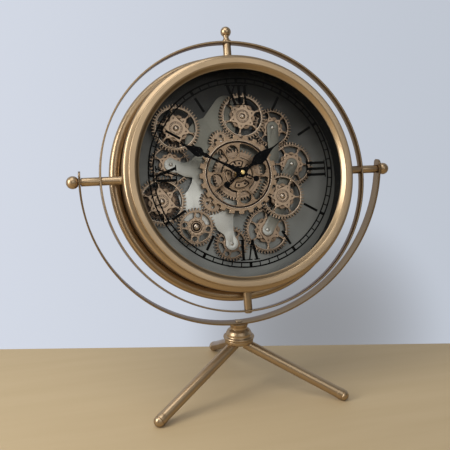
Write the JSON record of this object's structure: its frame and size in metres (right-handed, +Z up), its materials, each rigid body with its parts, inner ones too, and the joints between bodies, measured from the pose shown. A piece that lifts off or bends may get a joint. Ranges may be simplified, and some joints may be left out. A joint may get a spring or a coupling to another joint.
{
  "type": "tripod table clock with open gears",
  "caption": "Gold table clock: a round glazed case with open turning gears, on rods in a ring that tilts in a yoke on a tripod.",
  "frame": {"origin": "on the table, in the middle of the outline of the feet", "axes": "+Z up; -Y is the way the dial faces; the tilt axis runs along X through the knobs"},
  "size_m": [0.4908, 0.2582, 0.5533],
  "materials": {
    "gold_paint": "satin antique gold paint",
    "gold_bezel": "satin antique gold paint",
    "clear_glass": "clear, printed in black on its back",
    "black_plastic": "matt black",
    "dial_grey": "dark brushed grey",
    "bridge_silver": "brushed silver",
    "gear_bronze": "bronze paint with a dark patina",
    "black_paint": "matt black paint",
    "brass_bare": "turned",
    "pin_steel": "turned",
    "cell_case": "plain sleeve",
    "cover_black": "black powder coat"
  },
  "bodies": {
    "stand": {"leg_left": "gold_paint", "leg_right": "gold_paint", "leg_back": "gold_paint", "foot_caps": "gold_paint", "stand_hub": "gold_paint", "hub_screw": "gold_paint", "yoke": "gold_paint"},
    "clock": {"gimbal_ring": "gold_paint", "case_shell": "gold_paint", "bezel": "gold_bezel", "glass": "clear_glass", "inner_wall": "black_plastic", "case_rods": "gold_paint", "pivot_pins": "gold_paint", "ball_finials": "gold_paint", "ring_screw": "gold_paint", "bridge_plate": "bridge_silver", "gear_pins": "pin_steel", "movement": "black_plastic", "movement_cell": "cell_case", "bush_nuts": "brass_bare", "gear_motor": "black_plastic", "cell_box": "black_plastic", "drive_cells": "cell_case", "dial_plate": "dial_grey", "back_cover": "cover_black", "cover_screws": "pin_steel", "dial_posts": "pin_steel"},
    "centre": {"centre_wheel": "gear_bronze", "fine_wheel": "gear_bronze", "rear_wheel": "gear_bronze"},
    "hour": {"hour_hand": "black_paint", "hour_pipe": "brass_bare"},
    "minute": {"minute_hand": "black_paint", "minute_arbor": "brass_bare", "hand_nut": "brass_bare"},
    "knob": {"setting_knob": "black_plastic"},
    "pinion": {"drive_pinion": "black_plastic"},
    "switch": {"gear_switch": "black_plastic"},
    "pinion_upper_body": {"pinion_upper": "gear_bronze"},
    "gear_top_body": {"gear_top": "gear_bronze"},
    "pinion_lower_body": {"pinion_lower": "gear_bronze"},
    "gear_lower_left_body": {"gear_lower_left": "gear_bronze"},
    "gear_left_body": {"gear_left": "gear_bronze"},
    "gear_mid_left_body": {"gear_mid_left": "gear_bronze"},
    "gear_upper_left_body": {"gear_upper_left": "gear_bronze"},
    "idler_body": {"idler": "gear_bronze"},
    "gear_upper_right_body": {"gear_upper_right": "gear_bronze"},
    "gear_right_body": {"gear_right": "gear_bronze"},
    "gear_lower_right_body": {"gear_lower_right": "gear_bronze"},
    "gear_bottom_right_body": {"gear_bottom_right": "gear_bronze"},
    "gear_bottom_body": {"gear_bottom": "gear_bronze"}
  },
  "joints": [
    {"name": "clock_tilt", "type": "hinge", "parent": "stand", "child": "clock", "pos_m": [0, -0.04025, 0.3375], "axis": [1, 0, 0], "continuous": true},
    {"name": "centre_spin", "type": "hinge", "parent": "clock", "child": "centre", "pos_m": [0, -0.04025, 0.3375], "axis": [0, -0.9655, 0.2605], "continuous": true},
    {"name": "minute_turn", "type": "hinge", "parent": "clock", "child": "minute", "pos_m": [0, -0.04025, 0.3375], "axis": [0, -0.9655, 0.2605], "continuous": true},
    {"name": "hour_turn", "type": "hinge", "parent": "clock", "child": "hour", "pos_m": [0, -0.04025, 0.3375], "axis": [0, -0.9655, 0.2605], "continuous": true},
    {"name": "pinion_upper_spin", "type": "hinge", "parent": "clock", "child": "pinion_upper_body", "pos_m": [-0.02136, -0.02733, 0.38538], "axis": [0, -0.9655, 0.2605], "continuous": true},
    {"name": "gear_top_spin", "type": "hinge", "parent": "clock", "child": "gear_top_body", "pos_m": [0.01433, -0.01757, 0.42157], "axis": [0, -0.9655, 0.2605], "continuous": true},
    {"name": "pinion_lower_spin", "type": "hinge", "parent": "clock", "child": "pinion_lower_body", "pos_m": [-0.04069, -0.04979, 0.30213], "axis": [0, -0.9655, 0.2605], "continuous": true},
    {"name": "gear_lower_left_spin", "type": "hinge", "parent": "clock", "child": "gear_lower_left_body", "pos_m": [-0.06777, -0.05916, 0.26743], "axis": [0, -0.9655, 0.2605], "continuous": true},
    {"name": "gear_left_spin", "type": "hinge", "parent": "clock", "child": "gear_left_body", "pos_m": [-0.11509, -0.04892, 0.30536], "axis": [0, -0.9655, 0.2605], "continuous": true},
    {"name": "gear_mid_left_spin", "type": "hinge", "parent": "clock", "child": "gear_mid_left_body", "pos_m": [-0.09715, -0.03503, 0.35683], "axis": [0, -0.9655, 0.2605], "continuous": true},
    {"name": "gear_upper_left_spin", "type": "hinge", "parent": "clock", "child": "gear_upper_left_body", "pos_m": [-0.08695, -0.02162, 0.40655], "axis": [0, -0.9655, 0.2605], "continuous": true},
    {"name": "idler_spin", "type": "hinge", "parent": "clock", "child": "idler_body", "pos_m": [0.03075, -0.03116, 0.37118], "axis": [0, -0.9655, 0.2605], "continuous": true},
    {"name": "gear_upper_right_spin", "type": "hinge", "parent": "clock", "child": "gear_upper_right_body", "pos_m": [0.062, -0.02193, 0.40539], "axis": [0, -0.9655, 0.2605], "continuous": true},
    {"name": "gear_right_spin", "type": "hinge", "parent": "clock", "child": "gear_right_body", "pos_m": [0.08821, -0.03664, 0.35088], "axis": [0, -0.9655, 0.2605], "continuous": true},
    {"name": "gear_lower_right_spin", "type": "hinge", "parent": "clock", "child": "gear_lower_right_body", "pos_m": [0.06638, -0.04929, 0.30399], "axis": [0, -0.9655, 0.2605], "continuous": true},
    {"name": "gear_bottom_right_spin", "type": "hinge", "parent": "clock", "child": "gear_bottom_right_body", "pos_m": [0.04118, -0.06195, 0.25706], "axis": [0, -0.9655, 0.2605], "continuous": true},
    {"name": "gear_bottom_spin", "type": "hinge", "parent": "clock", "child": "gear_bottom_body", "pos_m": [-0.01569, -0.06629, 0.241], "axis": [0, -0.9655, 0.2605], "continuous": true},
    {"name": "pinion_spin", "type": "hinge", "parent": "clock", "child": "pinion", "pos_m": [0.018, -0.04837, 0.3074], "axis": [0, -0.9655, 0.2605], "continuous": true},
    {"name": "knob_turn", "type": "hinge", "parent": "clock", "child": "knob", "pos_m": [0.014, -0.0366, 0.35102], "axis": [0, -0.9655, 0.2605], "continuous": true},
    {"name": "switch_slide", "type": "slide", "parent": "clock", "child": "switch", "axis": [1, 0, 0], "range_m": [0, 0.003]}
  ],
  "couplings": [
    {"joint": "hour_turn", "follows": "minute_turn", "ratio": 0.083333},
    {"joint": "pinion_upper_spin", "follows": "centre_spin", "ratio": -2.1304},
    {"joint": "gear_top_spin", "follows": "centre_spin", "ratio": 1.0652},
    {"joint": "pinion_lower_spin", "follows": "centre_spin", "ratio": -2.0417},
    {"joint": "gear_lower_left_spin", "follows": "centre_spin", "ratio": 1.3611},
    {"joint": "gear_left_spin", "follows": "centre_spin", "ratio": -1.0652},
    {"joint": "gear_mid_left_spin", "follows": "centre_spin", "ratio": 0.93207},
    {"joint": "gear_upper_left_spin", "follows": "centre_spin", "ratio": -1.2428},
    {"joint": "idler_spin", "follows": "centre_spin", "ratio": -1.5833},
    {"joint": "gear_upper_right_spin", "follows": "centre_spin", "ratio": 0.97436},
    {"joint": "gear_right_spin", "follows": "centre_spin", "ratio": -0.86364},
    {"joint": "gear_lower_right_spin", "follows": "centre_spin", "ratio": 1.4074},
    {"joint": "gear_bottom_right_spin", "follows": "centre_spin", "ratio": -0.82609},
    {"joint": "gear_bottom_spin", "follows": "centre_spin", "ratio": 1.1515},
    {"joint": "pinion_spin", "follows": "centre_spin", "ratio": -3.8},
    {"joint": "knob_turn", "follows": "minute_turn", "ratio": -0.33333}
  ]
}
